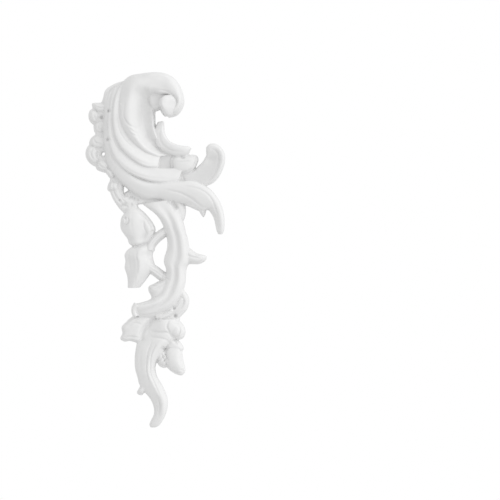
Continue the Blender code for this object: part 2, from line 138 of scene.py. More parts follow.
def panel(rungs, steps=140, rounding=RIM_ROUNDING):
    """A wide leaf over rungs, each two rim points and the height at each station across."""
    rows = []
    middles = [((r[0] + r[2]) / 2, (r[1] + r[3]) / 2, *r) for r in rungs]
    for rung in smooth(middles, steps)[:, 2:]:
        levels = rung[4:]
        slopes = np.gradient(levels, STATIONS)
        i = np.clip(np.searchsorted(STATIONS, ACROSS, side="right") - 1, 0, len(STATIONS) - 2)
        span = np.diff(STATIONS)[i]
        t = (ACROSS - np.array(STATIONS)[i]) / span
        heights = levels[i] * (1 - ease(t)) + levels[i + 1] * ease(t) + span * t * (1 - t) * (
            slopes[i] * (1 - t) - slopes[i + 1] * t)
        rows.append((rung[:2], rung[2:4], heights))
    loft(rows, rounding)


veins = []


def vein(line, depth=0.8, width=1.2, steps=60):
    """A groove, or at a single point a pit, to be pressed into the face of the carving."""
    veins.append((smooth(line, steps) if len(line) > 1 else np.array(line), depth, width))


panel([
    (168, 114, 168, 112, 22, 22, 22.5, 22.5, 22.5, 22, 21),
    (174.8, 112.3, 172.5, 109.8, 21, 23, 24.5, 25, 24.5, 24, 23),
    (179.2, 107.3, 176, 105.5, 21, 24, 25.5, 26, 25.5, 25, 24),
    (181.2, 101, 177.5, 101.5, 21, 24, 26, 26.5, 26, 25, 24),
    (180.4, 93.5, 175, 97.8, 21, 24.5, 26, 26.5, 26, 25, 24),
    (177.5, 85.8, 171, 95.2, 21, 24.5, 26.5, 27, 26.5, 25.5, 24),
    (172.7, 79.3, 167, 93.8, 20.5, 24.5, 26.5, 27, 26.5, 25.5, 24),
    (165.3, 74.8, 163, 93.5, 20, 24.5, 26, 26.5, 26, 25.3, 24),
    (157, 73.2, 159.5, 93.5, 19, 23.5, 26, 26.5, 26, 25, 23),
    (149, 73.3, 156.5, 94.5, 17, 22.5, 25.5, 26.5, 26, 23, 18),
    (141, 73.9, 154.2, 97, 13, 20, 25.5, 26.5, 25, 19, 12),
    (130.5, 75.4, 153, 101, 8, 18, 25.5, 26, 20, 15, 13),
    (123.3, 81.4, 152.6, 105, 9, 18, 26, 24, 17, 14, 14),
    (120.4, 92, 152.6, 109.5, 16, 21, 26, 22.8, 15.5, 14.5, 17.5),
    (119.7, 104, 152.3, 115, 20, 23.5, 26.3, 22.6, 14.8, 14.5, 18.5),
    (120, 118, 152.6, 125, 20.5, 24, 26.3, 22.4, 14.5, 14.5, 18.5),
    (124, 130, 154.5, 134, 20, 23.3, 25.5, 20.8, 13, 13.8, 17.5),
    (132, 141.5, 158, 142, 19, 21.5, 22.5, 16.5, 9.5, 8.5, 10.5),
    (144, 151, 165, 149.5, 17, 18.5, 17.5, 12, 7.5, 7, 7.5),
    (157, 156.5, 173, 154, 12.5, 12.5, 11, 8.5, 7, 6.5, 6.5)], 200, 0.002)
vein([(125.5, 104), (124.5, 117), (129.5, 125.5), (139, 129)], 0.9, 1)
vein([(130, 129), (134, 132), (138, 133.5)], 0.6, 0.8)
vein([(129, 132), (133, 135), (138, 137)], 0.5, 0.8)
vein([(157, 91), (164, 91.3), (169, 92.8), (174, 96.8), (177, 102), (176, 108.5)], 0.7, 0.9)

# Rolled volute
# The end of the great scroll, moulded with it and turned under itself into a
# tilted boss that stands highest of all, above the low eye that it curls round.


def lobe(outline, rim, top, around=64, levels=15):
    """A swelling over a closed outline, from the height of its rim to that of its top."""
    edge = smooth(outline, around, closed=True)
    middle = edge.mean(axis=0)
    reach = np.linalg.norm(edge - middle, axis=1).mean()
    edge = middle + (edge - middle) * (1 + SWELL / SHEET / reach)
    buried = BACK_OVERLAP / SHEET
    spread = math.tan(WALL_DRAFT) * (rim + buried) / reach
    inset = min(RIM_ROUNDING / SHEET / reach, ROUNDING_SHARE)
    rings = [(1 + spread, -buried), (1, rim - inset * reach)]
    for s in np.linspace(0, 1, levels)[:-1]:
        swell = (top - rim) * math.sqrt(1 - (1 - s) ** 2)
        rings.append(((1 - inset) * (1 - s), rim + swell))
    skin([[place(*(middle + (point - middle) * share), up) for point in edge]
          for share, up in rings])


panel([
    (165, 96.2, 171, 95.8, 25, 26, 26.5, 26.5, 26, 25.5, 24),
    (161.6, 99.4, 176, 98.8, 26, 28.8, 29.6, 28.5, 27, 25.5, 24),
    (160.8, 105, 177.8, 105, 27, 30.4, 30.2, 28.5, 26.5, 25, 24),
    (162.8, 109, 176, 109.5, 27, 29.8, 29.5, 28, 26.5, 25, 24),
    (164.6, 112.8, 173, 112.8, 25, 27, 27.5, 27, 26, 25, 24),
    (166.8, 115.5, 170.5, 115.5, 23, 24.5, 25, 25, 24.7, 24.3, 23.5)], 60)
lobe([(150, 90), (170, 90), (172, 104), (162, 106), (154, 108)], 18, 19)

# Outer folds
# Three crescents, moulded in one with the great scroll, that follow its outside
# and step down with narrow grooves between. The outermost runs on to the long
# drooping tip at the right.


def crown(t):
    """A rise that is even on both sides."""
    return np.sin(np.pi * np.clip(t, 0, 1)) ** 0.8


def fold(t):
    """A rise that leans towards the outer rim."""
    return np.sin(np.pi * t ** 0.55) ** 0.9


def leaf(rungs, across=crown, steps=90, rounding=RIM_ROUNDING):
    """A leaf laid over rungs, each two rim points with their heights and the rise between them."""
    rows = []
    middles = [((r[0] + r[3]) / 2, (r[1] + r[4]) / 2, *r) for r in rungs]
    for xl, yl, hl, xr, yr, hr, rise in smooth(middles, steps)[:, 2:]:
        heights = hl + (hr - hl) * ACROSS + rise * across(ACROSS)
        rows.append((np.array([xl, yl]), np.array([xr, yr]), heights))
    loft(rows, rounding)


leaf([
    (121, 104, 22, 124, 104, 22, 1), (122, 114, 22, 126, 113, 22, 2),
    (126, 123, 20, 130, 120, 21, 2), (133, 131, 17, 137, 127, 17, 1)])
leaf([
    (123.5, 81.5, 9, 124.3, 81.2, 9, 0), (119, 89, 15.5, 121, 88.6, 16, 0.5),
    (116, 98, 19, 119.7, 97.4, 19, 1.5),
    (114, 110, 20.5, 119.9, 108, 20, 2), (114, 123, 20.5, 121.5, 121, 20, 2.2),
    (116.5, 137, 20.5, 127, 134, 19.5, 2.6), (123, 149, 20.5, 135.5, 144.5, 18.5, 3),
    (133.5, 159, 19.5, 144.5, 151.5, 16, 3), (146, 166, 17, 152.5, 155.3, 13, 3),
    (157.5, 166.7, 13.5, 159.7, 156.8, 11, 1.5)], fold, 120)
leaf([
    (119.5, 84, 8.5, 120.5, 83.6, 8.5, 0), (114, 92, 14.5, 117.5, 91, 15, 0.5),
    (110.5, 106, 17.5, 115, 104, 18.5, 1.2),
    (108.5, 124, 18, 115, 122, 19, 1.4), (110, 143, 18.3, 117.3, 138, 18.8, 1.8),
    (116, 158.5, 18.3, 124.5, 150.5, 18.2, 2.4), (128, 171, 18, 136, 161, 16.8, 3),
    (147, 179.5, 16.5, 148.5, 167.2, 14.5, 3.5), (164, 182, 14.5, 166, 169, 12.5, 3.5),
    (178.2, 181, 11.5, 182.2, 168.5, 10.5, 3)], fold, 120)
panel([
    (111.3, 88.7, 116, 86, 7, 8.5, 10.5, 12, 13, 13.8, 13),
    (104.7, 96.6, 112, 100, 8, 10, 12, 13.7, 15.2, 16.2, 15.8),
    (103, 116, 109, 117, 8.5, 10.5, 12.7, 14.7, 16.2, 17, 16.6),
    (103, 134, 108.5, 135, 9, 11, 13.2, 15.2, 16.8, 17.5, 16.8),
    (104.5, 151, 111.5, 150, 9.5, 12, 14.2, 16, 17.3, 17.8, 17),
    (108, 165, 119, 163, 10, 13, 15.2, 16.8, 17.6, 17.6, 16.2),
    (117, 177, 130, 173.5, 10.5, 14, 16, 17, 17.5, 17, 15),
    (130.5, 189.5, 143, 180.5, 10.5, 14, 16, 17.5, 18, 17, 15),
    (145, 197.5, 156.5, 183, 10.5, 14, 16, 17.5, 18, 17.5, 15),
    (158, 198.3, 168, 182, 10.5, 13.5, 16, 17.5, 18, 17.5, 15),
    (171, 200.3, 180, 181.8, 10.5, 13.5, 16, 17.5, 18, 17.5, 15),
    (185, 203.2, 193, 181.8, 10, 13, 15.5, 17, 17.5, 17, 15),
    (196, 208, 205, 187.5, 10, 12.5, 15, 16.5, 17, 16.5, 15),
    (203, 210, 212.6, 194, 10, 12.5, 14.5, 16, 16.5, 16, 14),
    (209, 209, 218.4, 203, 9.5, 12, 14, 15, 15.5, 15, 13.5),
    (214.3, 216, 221.8, 213.3, 9, 11, 13, 14, 14.5, 14, 12),
    (216.9, 226, 222.8, 224, 8.5, 10, 11.5, 12.5, 13, 12.5, 11),
    (218, 231.3, 222, 231.3, 8, 9, 10, 10.5, 10.5, 10, 9),
    (219.6, 234.2, 220.4, 234.2, 7.5, 7.5, 8, 8, 8, 7.5, 7.5)], 240)
lobe([(198, 206), (203.5, 206), (204.4, 210.5), (202.7, 214.6), (200.2, 211.5)], 8, 10)
vein([(118.5, 85), (113, 90), (110, 97), (108.5, 106)], 0.7, 0.9)
vein([(121, 85), (116, 90), (113.5, 97), (112.5, 106)], 0.6, 0.8)
vein([(114.5, 86), (109.5, 90), (107, 97), (106, 105)], 0.7, 0.9)
vein([(124, 150), (132, 157), (142, 162.5), (152, 165)], 0.5, 1.2)
vein([(117.5, 118), (119.5, 130), (125.5, 140.5), (136, 150)], 0.5, 0.9)
vein([(112, 118), (112.5, 134), (117, 147), (126, 157)], 0.4, 1)
vein([(118, 160), (126, 168), (138, 174.5), (152, 178), (170, 178.5)], 0.5, 1.2)

# Inner leaves
# A small leaf that curls along the inside of the scroll, a round-ended one
# under it, and the low floor of the hollow behind them, all on the same body.
lobe([
    (146, 146), (160, 138), (180, 150), (189, 160), (192, 180), (176, 190), (146, 184)], 5.5, 6)
leaf([
    (161.8, 120.5, 8, 158.2, 121.3, 9, 0), (162, 126.5, 11.5, 156, 127.5, 11, 0.5),
    (162.9, 133.6, 13, 155.2, 136, 11, 0.8), (167, 140.5, 14, 157.5, 144.5, 10.5, 1),
    (173.5, 144.4, 14, 165, 151, 9.5, 2), (181, 146.6, 13.5, 175, 155, 9, 2.5),
    (187.2, 147.3, 12, 184, 155, 9, 2), (190.2, 149.1, 10.5, 188.8, 152.3, 9.5, 0)])
lobe([
    (172, 158), (180, 156), (190, 155.1), (194.7, 155.9), (196.3, 159.5), (195, 163.5),
    (192.5, 168), (186, 172), (174, 172)], 9, 13.5)
vein([(179.5, 156), (182, 157.5), (184.5, 157)], 2.5, 1.2)
vein([(160, 128), (159.5, 137), (163, 145), (172, 150.5), (183, 151.5)], 0.7, 1.1)
vein([(176, 162), (184, 161.5), (192, 161)], 0.6, 1)

# Right-hand leaves
# A hollow leaf that grows out from under the folds and curls up to a rounded
# end, and the veins pressed into the drooping tip beside it.
leaf([
    (187, 186, 8, 183, 174, 6, 0), (203.5, 184.5, 10.5, 194, 170.5, 6.5, -0.5),
    (212.5, 180.3, 14.5, 199, 166.2, 8.5, -2), (219, 171.5, 17, 203.3, 162.3, 11, -3),
    (222.6, 160, 18, 205.7, 158.2, 12, -3), (221.6, 151.5, 18, 207, 155.5, 14, -1),
    (215.5, 145.2, 18, 207.3, 153, 15, 1), (209, 144.9, 17, 206.6, 151.5, 15, 1),
    (206, 148.2, 15, 206, 150.6, 15, 0)], rounding=0.003)
vein([(166, 190), (180, 193), (192, 199), (201, 206), (207, 208.5)], 0.8, 1.2)
vein([(185, 186), (200, 189.5), (210, 197), (215.5, 209), (218.5, 226)], 0.6, 1)
vein([(208, 181.5), (215, 173), (218.5, 161), (216.5, 152), (211.5, 149)], 0.7, 1)

# Lacy foliage
# Low lobed foliage down the left edge, moulded behind the folds, with two
# rosettes, deep pits and one eye that is pierced right through.
leaf([
    (123, 80.5, 6, 131, 86, 7, 0), (113.5, 83.9, 6, 121, 94, 7, 1),
    (105.4, 89.6, 6.5, 115, 99, 9, 1), (102.6, 99, 7.5, 114, 108, 9, 1),
    (98, 110, 8.5, 114, 115, 9, 1), (96, 121, 8.5, 114, 125, 9, 1),
    (95.5, 133, 8.5, 114, 134, 9, 1), (96, 145, 8.5, 114, 145, 9, 1),
    (98.5, 160, 8.5, 116, 160, 9, 1), (104, 169.5, 7.5, 120, 172, 9, 1),
    (110.5, 178, 7.5, 126, 182, 8, 0)])
leaf([
    (110.8, 176, 7, 122, 176, 8, 1), (109.3, 186, 7, 121.5, 186, 8, 2),
    (112, 196, 7, 122.5, 195, 8, 2), (117.5, 205, 7, 131, 198.5, 8, 2),
    (124.5, 213, 7, 136.5, 208, 8, 1)])
lobe([
    (122, 197), (128, 191), (134, 188), (144, 194), (150, 202), (143.5, 203.2),
    (137, 204), (135.5, 208.5), (128, 210)], 6, 7)
lobe([(142, 196), (156, 190), (176, 194), (180, 206), (160, 208), (148, 205)], 7, 8)
for outline in (
        [(92.8, 103.2), (98, 102.6), (103.5, 102.9), (108, 106), (105, 111.5), (98, 112),
         (93.8, 108.5)],
        [(90.3, 110), (94.5, 109.6), (98, 111.5), (98.4, 117), (95.5, 122.6), (91.5, 121.3),
         (88.8, 117.5), (88.8, 112.6)],
        [(95, 122), (103, 119.5), (108.5, 124), (104.5, 131), (99, 133), (94.8, 130.5),
         (93.8, 125.5)],
        [(94.5, 135.2), (99, 134.3), (105, 136.5), (107.5, 142), (102.5, 147.5), (94, 147.5),
         (89.8, 144), (90.4, 139)],
        [(88.5, 146), (94, 145.5), (97.2, 149), (96.4, 154.5), (98, 161), (94, 163.7),
         (88.6, 160.4), (85.8, 155.5), (86, 150)],
        [(97, 160.5), (104, 159), (109.5, 164), (107, 170.6), (101, 170), (96.6, 167.5)],
        [(104, 168), (110, 168), (114.5, 174), (112.5, 179), (106.5, 173.4)],
        [(108, 185.5), (110.5, 181.3), (118, 182), (118, 190), (111, 190.6), (108, 188.8)]):
    lobe(outline, 8, 12)
lobe([(103, 146.5), (108.5, 149), (110.5, 155), (107.5, 160.5), (104, 160), (106, 154)], 8, 11)
for pit in ((101, 117), (109, 111), (108, 139.5)):
    vein([pit], 4, 1.7)
vein([(102.4, 153.6)], 4, 3.4)
vein([(96, 111.5), (94.2, 116), (95.5, 121)], 1.2, 0.9)
vein([(92.5, 148), (90.5, 153.5), (93.5, 160)], 1.2, 0.9)
vein([(98, 163), (101, 166.5), (106, 168)], 1, 0.9)
vein([(99, 122.5), (98, 127), (100, 131)], 1, 0.9)
vein([(93, 138), (95, 142), (101, 144)], 1.1, 0.9)
vein([(96, 106), (100, 107.5), (104, 106.5)], 0.8, 0.9)
vein([(97, 148.5), (101, 147.8), (105.5, 149.5)], 1, 0.9)
vein([(113, 180), (112.5, 188), (116, 197), (124, 206)], 1, 1)
vein([(117.5, 180), (118, 189), (122, 199), (130, 206)], 0.8, 0.9)
vein([(125.5, 185.5), (121.6, 189), (121.4, 195), (124.5, 198)], 1.4, 0.9)
vein([(117, 207.5), (122, 205), (128, 206.5)], 1.8, 1.2)
vein([(127.5, 199), (131, 197), (135, 199)], 1.5, 1.1)
vein([(111, 152), (113, 159), (116, 165)], 0.9, 1)
vein([(107, 121), (106.5, 130)], 0.8, 1.2)
vein([(101.5, 124), (102, 134)], 0.9, 1)
for pit in ((124.5, 203.5), (119, 200), (131, 204.5), (137, 199.5)):
    vein([pit], 1.6, 1.4)

# Hanging buds
# Two leafy buds that hang one below the other on the left, each joined to
# the stem by a thin bent stalk, under the one sprayed coat of white primer.
PRIMER = (0.832, 0.832, 0.83, 1)
# The darker end of the primer's colour, reached by random tone, by the pinholes and by painted
# shade in the hollows.
PRIMER_TONE_AND_SHADE = (0.73, 0.73, 0.73, 1)
PRIMER_SHEEN = 0.5
PEEL_DEPTH = 0.00008


class Socket:
    """A shader value whose sums and products add Math nodes."""
    tree = None

    def __init__(self, socket):
        self.socket = socket

    @classmethod
    def node(cls, kind, settings, values, out=0):
        made = cls.tree.nodes.new("ShaderNode" + kind)
        for name, value in settings.items():
            setattr(made, name, value)
        for name, value in values.items():
            if isinstance(value, cls):
                cls.tree.links.new(value.socket, made.inputs[name])
            else:
                made.inputs[name].default_value = value
        return cls(made.outputs[out])

    @classmethod
    def maths(cls, operation, a, b):
        return cls.node("Math", {"operation": operation}, {0: a, 1: b})

    def __add__(self, other):
        return self.maths("ADD", self, other)

    def __sub__(self, other):
        return self.maths("SUBTRACT", self, other)

    def __rsub__(self, other):
        return self.maths("SUBTRACT", other, self)

    def __mul__(self, other):
        return self.maths("MULTIPLY", self, other)

    __radd__ = __add__
    __rmul__ = __mul__

    def into(self, node, name):
        self.tree.links.new(self.socket, node.inputs[name])


# Painted shade: the colour darkens in the hollows and lightens on the ridges by the recess
# attribute.
# The coat also varies at random in tone and dries with a faint orange peel and a few pinholes from
# the mould, drawn darker.
primer = bpy.data.materials.new("white primer")
primer.use_nodes = True
Socket.tree = primer.node_tree
shader = primer.node_tree.nodes["Principled BSDF"]
where = Socket.node("TexCoord", {}, {}, "Object")
recess = Socket.node("Attribute", {"attribute_name": "recess"}, {}, "Fac")
cloud = Socket.node("TexNoise", {}, {"Vector": where, "Scale": 38.0, "Detail": 3.0})
mist = Socket.node("TexNoise", {}, {"Vector": where, "Scale": 210.0, "Detail": 2.0})
peel = Socket.node("TexNoise", {}, {"Vector": where, "Scale": 640.0, "Detail": 1.0})
cell = Socket.node("TexVoronoi", {}, {"Vector": where, "Scale": 75.0}, "Distance")
pinhole = Socket.node(
    "MapRange", {}, {"Value": cell, "From Min": 0.02, "From Max": 0.045, "To Min": 1, "To Max": 0})
# Painted shade: the recess term darkens the colour in hollows and lightens it on ridges; cloud and
# mist give random tone.
tone_and_painted_shade = 0.22 + 0.35 * (cloud - 0.5) + 0.25 * (mist - 0.5) + 0.22 * recess + 0.5 * pinhole
FACTOR, FIRST_COLOUR, SECOND_COLOUR, MIXED_COLOUR = 0, 6, 7, 2
Socket.node(
    "Mix", {"data_type": "RGBA"},
    {FACTOR: tone_and_painted_shade, FIRST_COLOUR: PRIMER, SECOND_COLOUR: PRIMER_TONE_AND_SHADE}, MIXED_COLOUR).into(
        shader, "Base Color")
(PRIMER_SHEEN + 0.22 * (cloud - 0.5) + 0.3 * (mist - 0.5) - 0.1 * recess).into(
    shader, "Roughness")
Socket.node("Bump", {}, {
    "Strength": 0.5, "Distance": PEEL_DEPTH,
    "Height": peel + 0.8 * mist - 2 * pinhole}).into(shader, "Normal")

stalks = bpy.data.node_groups.new("stalk", "GeometryNodeTree")
stalks.interface.new_socket("Line", in_out="INPUT", socket_type="NodeSocketGeometry")
for name in ("Half Width", "Height"):
    stalks.interface.new_socket(name, in_out="INPUT", socket_type="NodeSocketFloat")
stalks.interface.new_socket("Stalk", in_out="OUTPUT", socket_type="NodeSocketGeometry")


def stalk_node(kind, settings, values):
    """One more node of the stalk tree, with its settings, then its values or links."""
    made = stalks.nodes.new(kind)
    for name, value in settings.items():
        setattr(made, name, value)
    for name, value in values.items():
        if isinstance(value, bpy.types.NodeSocket):
            stalks.links.new(value, made.inputs[name])
        else:
            made.inputs[name].default_value = value
    return made


given = stalk_node("NodeGroupInput", {}, {}).outputs
bent = stalk_node("GeometryNodeMeshToCurve", {}, {"Mesh": given["Line"]}).outputs["Curve"]
upright = stalk_node(
    "GeometryNodeSetCurveNormal", {"mode": "Z_UP"}, {"Curve": bent}).outputs["Curve"]
girth = stalk_node("ShaderNodeCombineXYZ", {}, {
    "X": given["Half Width"], "Y": given["Height"], "Z": 1.0}).outputs["Vector"]
ring = stalk_node("GeometryNodeCurvePrimitiveCircle", {}, {
    "Resolution": 32, "Radius": 1.0}).outputs["Curve"]
dome = stalk_node("GeometryNodeTransform", {}, {
    "Geometry": ring, "Scale": girth}).outputs["Geometry"]
swept = stalk_node("GeometryNodeCurveToMesh", {}, {
    "Curve": upright, "Profile Curve": dome, "Fill Caps": True}).outputs["Mesh"]
stood = stalk_node("GeometryNodeTransform", {}, {
    "Geometry": swept, "Rotation": (math.pi / 2, 0, 0)}).outputs["Geometry"]
real = stalk_node("GeometryNodeRealizeInstances", {}, {"Geometry": stood}).outputs["Geometry"]
primed = stalk_node("GeometryNodeSetMaterial", {}, {
    "Geometry": real, "Material": primer}).outputs["Geometry"]
stalk_node("NodeGroupOutput", {}, {"Stalk": primed})


def rib(spine, half_width, height, steps=40):
    """A round-topped stalk along a spine, grooved down its middle."""
    points = [
        ((x - ORIGIN[0]) * SHEET, (ORIGIN[1] - y) * SHEET, 0) for x, y in smooth(spine, steps)]
    line = bpy.data.meshes.new("stalk_line")
    line.from_pydata(points, [(i, i + 1) for i in range(len(points) - 1)], [])
    stalk = bpy.data.objects.new("stalk", line)
    bpy.context.scene.collection.objects.link(stalk)
    sweep = stalk.modifiers.new("stalk", "NODES")
    sweep.node_group = stalks
    sizes = {"Half Width": half_width, "Height": height}
    for socket in stalks.interface.items_tree:
        if socket.name in sizes:
            sweep[socket.identifier] = sizes[socket.name] * SHEET
    graph = bpy.context.evaluated_depsgraph_get()
    carving.from_mesh(bpy.data.meshes.new_from_object(stalk.evaluated_get(graph)))
    bpy.data.objects.remove(stalk)
    vein(spine, 0.9, 0.9)


panel([
    (125.5, 206, 136, 207, 7, 8, 9, 9, 9, 8, 7),
    (125, 212, 141.5, 211.5, 7, 10, 12, 12.5, 12, 10, 7),
    (122, 217, 146.5, 217, 8, 11, 13.5, 14, 13, 11, 8),
    (120.8, 223, 150.8, 223, 8, 11, 14, 14.5, 13, 12.5, 9),
    (121.4, 229, 153.2, 229, 8, 11, 14, 14, 12.5, 12.5, 9),
    (124.4, 234, 152, 234, 8, 11, 13.5, 13.5, 11.5, 11, 8),
    (128, 239, 149.5, 239, 7.5, 10, 12.5, 12.5, 10.5, 9.5, 8),
    (129.5, 243.5, 148, 243, 7, 9.5, 11.5, 11.5, 10, 9, 7.5),
    (134, 246.8, 146, 246, 6, 7, 8, 8, 7, 7, 6)])
lobe([(122, 218), (124.5, 216.3), (127, 219), (126.5, 224), (123, 225), (121.2, 221.5)], 9, 12.5)
vein([(136, 209.5), (141.5, 214), (147, 220), (150.5, 228), (150, 235)], 1.3, 1)
vein([(143.5, 220), (144, 228), (146.5, 233)], 0.7, 0.9)
vein([(128, 217), (128.3, 222), (124.5, 226.5)], 1.3, 0.8)
vein([(125, 218)], 1.6, 1)
vein([(132, 247), (140, 245), (148, 242.5)], 1.8, 2)
vein([(147, 232), (143, 238), (140, 243)], 1.1, 2.4)
vein([(152, 231)], 2, 1.2)
vein([(132, 211), (131, 222), (133.5, 236)], 0.3, 1.4)
panel([
    (134, 245.5, 150.5, 243, 6, 7, 8, 8.5, 9, 8, 6),
    (127.8, 250, 152, 249, 7, 9, 11, 13, 12, 10, 7),
    (124.9, 255, 150.5, 255, 7, 9, 11.5, 14, 12.5, 10, 7),
    (125.8, 261, 151.7, 261.5, 7, 9, 11.5, 14.5, 13, 11, 7),
    (125, 268, 153.5, 268, 7, 9, 11.5, 14.5, 12.5, 10.5, 7),
    (127.2, 275, 147.5, 275, 7, 9, 11.5, 13.5, 12, 10, 7),
    (128, 281, 142.8, 281.5, 6.5, 8.5, 11, 12.5, 10.5, 9, 7),
    (128, 288.2, 137.5, 288, 6, 8, 9.5, 9.5, 8.5, 8, 6)])
vein([(137, 249.5), (136, 256), (137.5, 263), (137, 274)], 0.7, 1.1)
vein([(145.5, 250), (147.5, 258), (145, 268)], 0.3, 1.2)
vein([(129.5, 250), (128, 256), (129, 264), (131, 276)], 0.4, 1.2)
vein([(135.5, 276), (134.5, 287)], 0.5, 1.1)
rib([(169, 229), (161, 234), (155, 239), (150.5, 244.7), (149, 250)], 4.9, 12)
rib([(148, 267), (155, 271.5), (162, 276.5), (170, 280)], 5.2, 11)
vein([(163, 229), (166, 236)], 1, 0.8)
vein([(164, 271), (161, 280)], 1, 0.8)

# Main stem leaf
# A long fluted leaf that carries the whole drop, moulded with it, and rolls into
# a hook at its lower left, with a thorn on either side and a curl at the right.
panel([
    (143, 203.5, 174, 199, 8, 10, 12, 12, 11, 10, 9),
    (150, 208.8, 177, 208, 9, 12.5, 14, 13, 13, 12, 10),
    (156.5, 214.2, 179.6, 216, 10, 13.5, 15, 14, 15.5, 14.5, 11),
    (161.3, 220.2, 181.6, 223, 10.5, 13.5, 15.5, 14.8, 16.8, 16, 12),
    (164.3, 226.5, 183.2, 230, 11, 13.5, 15.5, 14.9, 17.2, 16.5, 12),
    (167, 234, 185.2, 237, 11, 13.5, 15.5, 14.9, 17.2, 16.5, 12),
    (168.5, 243, 186.8, 246, 11, 13.5, 15.5, 14.9, 17.2, 16, 12),
    (167.8, 250, 188, 253, 11, 13.5, 15.5, 14.9, 17.2, 16, 12),
    (165.6, 257, 188, 261, 11, 13.5, 15.5, 14.9, 17.2, 16, 12),
    (165, 263, 184.8, 267, 11, 13.5, 15.5, 14.9, 17.2, 16, 12),
    (167, 269.5, 183.8, 273, 11, 13.5, 15.5, 14.9, 17.2, 16, 12),
    (166.5, 277, 183.5, 281, 11, 13.5, 15.5, 14.9, 17.2, 16, 12),
    (163, 286, 181.3, 290, 11, 13.8, 16, 15.1, 17.2, 16, 12),
    (157.5, 295, 178.3, 299, 11, 14.2, 16.7, 15.4, 16.8, 15, 11),
    (149.5, 301, 172.5, 306.5, 12, 16, 18, 15.5, 16.5, 14, 11),
    (141, 303.8, 163, 312.8, 13, 16.5, 17.5, 15.5, 15.5, 13, 10),
    (135, 306, 152, 317, 13, 15.5, 16, 14.5, 14, 12, 10),
    (132.6, 311, 140, 318, 12, 13, 13, 12, 11, 10, 9)], 200)
rib([(136.5, 304.8), (134.4, 308), (134.2, 312.5), (136, 316.5)], 3.6, 18)
lobe([(170, 200), (178, 201.5), (183.6, 206.5), (183.8, 214), (181, 219.5), (174, 214)], 8, 10)
vein([(171.5, 201.5), (174, 205), (176.5, 209.5)], 4.5, 2.3)
vein([(166, 201), (170, 203.5)], 1.2, 1.3)
lobe([
    (182, 246), (189.5, 249.3), (196, 253.7), (204.2, 256.6), (203, 260), (198, 262.8),
    (190, 263), (184, 263)], 9, 14)
vein([(186, 255), (193, 257), (200, 258.5)], 0.8, 1)
lobe([
    (170, 277), (161, 281), (154, 284.7), (149.4, 287.3), (149.2, 291), (151.5, 295.5),
    (152, 300), (168, 300)], 9, 14)
vein([(166, 283), (159, 287), (153, 289)], 0.8, 1)
leaf([
    (181, 290, 11, 178, 296, 11, 0), (186.3, 297, 11, 181, 298, 10, 2),
    (187, 303, 11, 179.5, 303, 9, 2), (184.8, 309.5, 11, 175, 306.5, 9, 2),
    (180, 315, 10, 170, 309, 9, 2), (174, 322, 9, 165, 314, 9, 0)])
rib([(182, 299), (175, 308), (166, 315), (156, 318)], 4.8, 13)
lobe([(146, 313), (160, 307), (172, 305), (177.5, 314), (174, 328), (146, 328)], 9.5, 10)
vein([(173.5, 308.5)], 3, 1.4)
vein([(175, 316)], 4, 1.5)
vein([(182.5, 297), (183.5, 303), (180, 309)], 0.7, 1)
vein([(140, 305), (146, 303.6), (153, 302)], 0.9, 0.8)
vein([(139.5, 315.5), (147, 314.8), (156, 313)], 0.7, 0.9)
vein([(168, 317), (173, 311.5), (178, 303)], 0.8, 0.8)

# Tail
# The leaf that ends the drop, in one with the stem, with a rolled lobe and a
# bud at its right shoulder, a side leaf at its left and a bent tip.
lobe([
    (134, 317.5), (129, 320.5), (126, 323.5), (122, 328), (122.7, 333.5), (120.8, 338.5),
    (124.5, 341), (129.5, 340.5), (138, 342.3), (150, 338), (150, 317)], 9, 12)
vein([(123, 337.5), (130, 336.8), (139, 338)], 0.8, 0.9)
vein([(142, 325), (134, 323), (128, 326)], 0.7, 1)
panel([
    (149, 321, 174, 319, 9, 11, 13, 14.5, 14, 12.5, 10),
    (143.5, 329, 180, 326, 8, 10, 12.5, 15.5, 16, 15, 11),
    (139, 338, 178, 335, 8, 10, 12, 14.5, 14.5, 12, 9),
    (136.8, 347, 168, 344.5, 8.5, 11, 13.2, 14.5, 15.8, 13, 9),
    (135.5, 356, 159, 355, 9, 11.3, 13.3, 14.7, 16, 13.5, 10),
    (135.3, 364, 154.3, 363, 9, 11, 13, 14.5, 15.5, 13.5, 10),
    (136, 371, 153, 370, 9, 11, 12.8, 14.2, 15, 13, 10),
    (138, 378, 154.7, 377, 8.5, 10.5, 12.3, 13.6, 14.5, 12.5, 9.5),
    (139.8, 385, 158.6, 384, 8.5, 10, 11.7, 13, 14, 12.3, 9.3),
    (144.8, 392.5, 163, 392, 8, 9.5, 11, 12.4, 13.5, 12, 9),
    (150.8, 400, 165.5, 400, 7.5, 9, 10.3, 11.6, 13, 12, 8.5),
    (154.2, 408, 165.5, 408, 7.2, 8.5, 9.7, 11, 12, 11, 8),
    (154.4, 415.5, 163.7, 415.5, 7, 8.5, 9.5, 10, 10.5, 10, 7.5),
    (151, 422.8, 160, 422.8, 6.5, 7.5, 8.5, 9, 9, 8.5, 7),
    (149.9, 426.3, 157, 426.8, 6, 6.6, 7.3, 7.6, 7.5, 7, 6),
    (151, 428.6, 153.4, 428.8, 5.5, 5.5, 5.8, 5.8, 5.8, 5.5, 5.5)], 200)
lobe([
    (168.5, 325), (173, 320.8), (177.8, 322.4), (182, 327), (183.2, 332.5), (180.5, 337.5),
    (174, 337.5), (168.5, 332)], 11, 15)
vein([(160, 319), (152, 321.5), (146, 326), (142, 333), (140.5, 342)], 3.4, 2.8)
vein([(151.5, 342), (147.8, 352), (146.6, 362), (146.6, 372), (149.5, 383)], 0.8, 0.8)
vein([(156, 344), (151.6, 354), (150.3, 364), (150.6, 374), (155, 385), (160, 396)], 1, 0.8)
vein([(173, 322), (178, 324.5), (180, 330), (178, 335), (174, 337)], 1.6, 1.2)
vein([(168.5, 321), (167, 327), (170, 333)], 1.2, 1.1)
